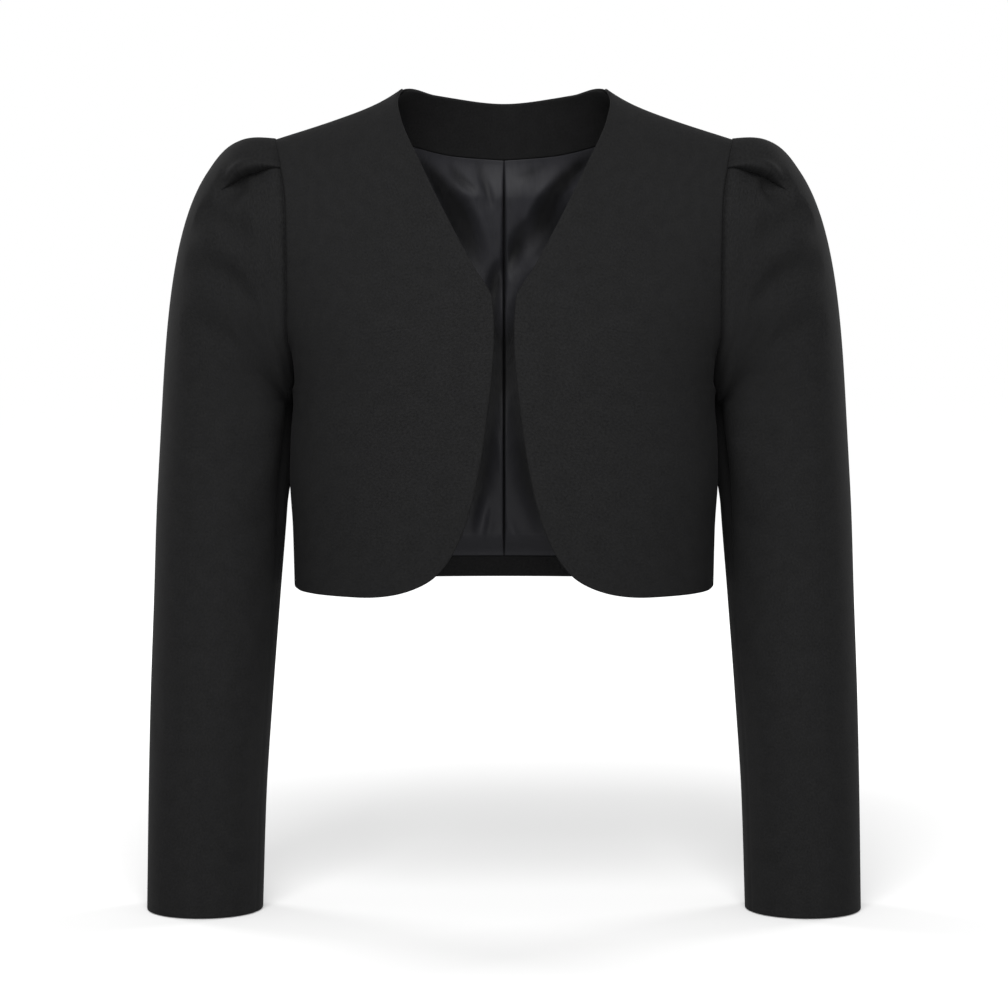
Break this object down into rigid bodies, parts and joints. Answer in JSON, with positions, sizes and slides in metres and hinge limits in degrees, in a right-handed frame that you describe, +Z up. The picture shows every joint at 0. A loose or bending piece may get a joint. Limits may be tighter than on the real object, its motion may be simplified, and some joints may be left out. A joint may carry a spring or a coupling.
{
  "type": "blazer",
  "caption": "Cropped collarless blazer with an open cutaway front, long straight sleeves pleated and puffed at the head, and a satin back lining",
  "frame": {"origin": "Midway between the two shoulder points, where the shoulder seams end at the armholes: the wearer's shoulders carry the jacket there.", "axes": "+Z is up the standing wearer, the front faces -Y, and +X is the wearer's left."},
  "size_m": [0.5554, 0.2403, 0.6373],
  "materials": {
    "suiting": "matte woven suiting with a fine soft nap",
    "satin": "smooth satin with a cool soft sheen and fine creases"
  },
  "bodies": {
    "root": {"back": "suiting", "front_left": "suiting", "front_right": "suiting", "sleeve_left": "suiting", "sleeve_right": "suiting", "neck_facing": "suiting", "hem_facing": "suiting", "lining_back_left": "satin", "lining_back_right": "satin"}
  },
  "joints": []
}
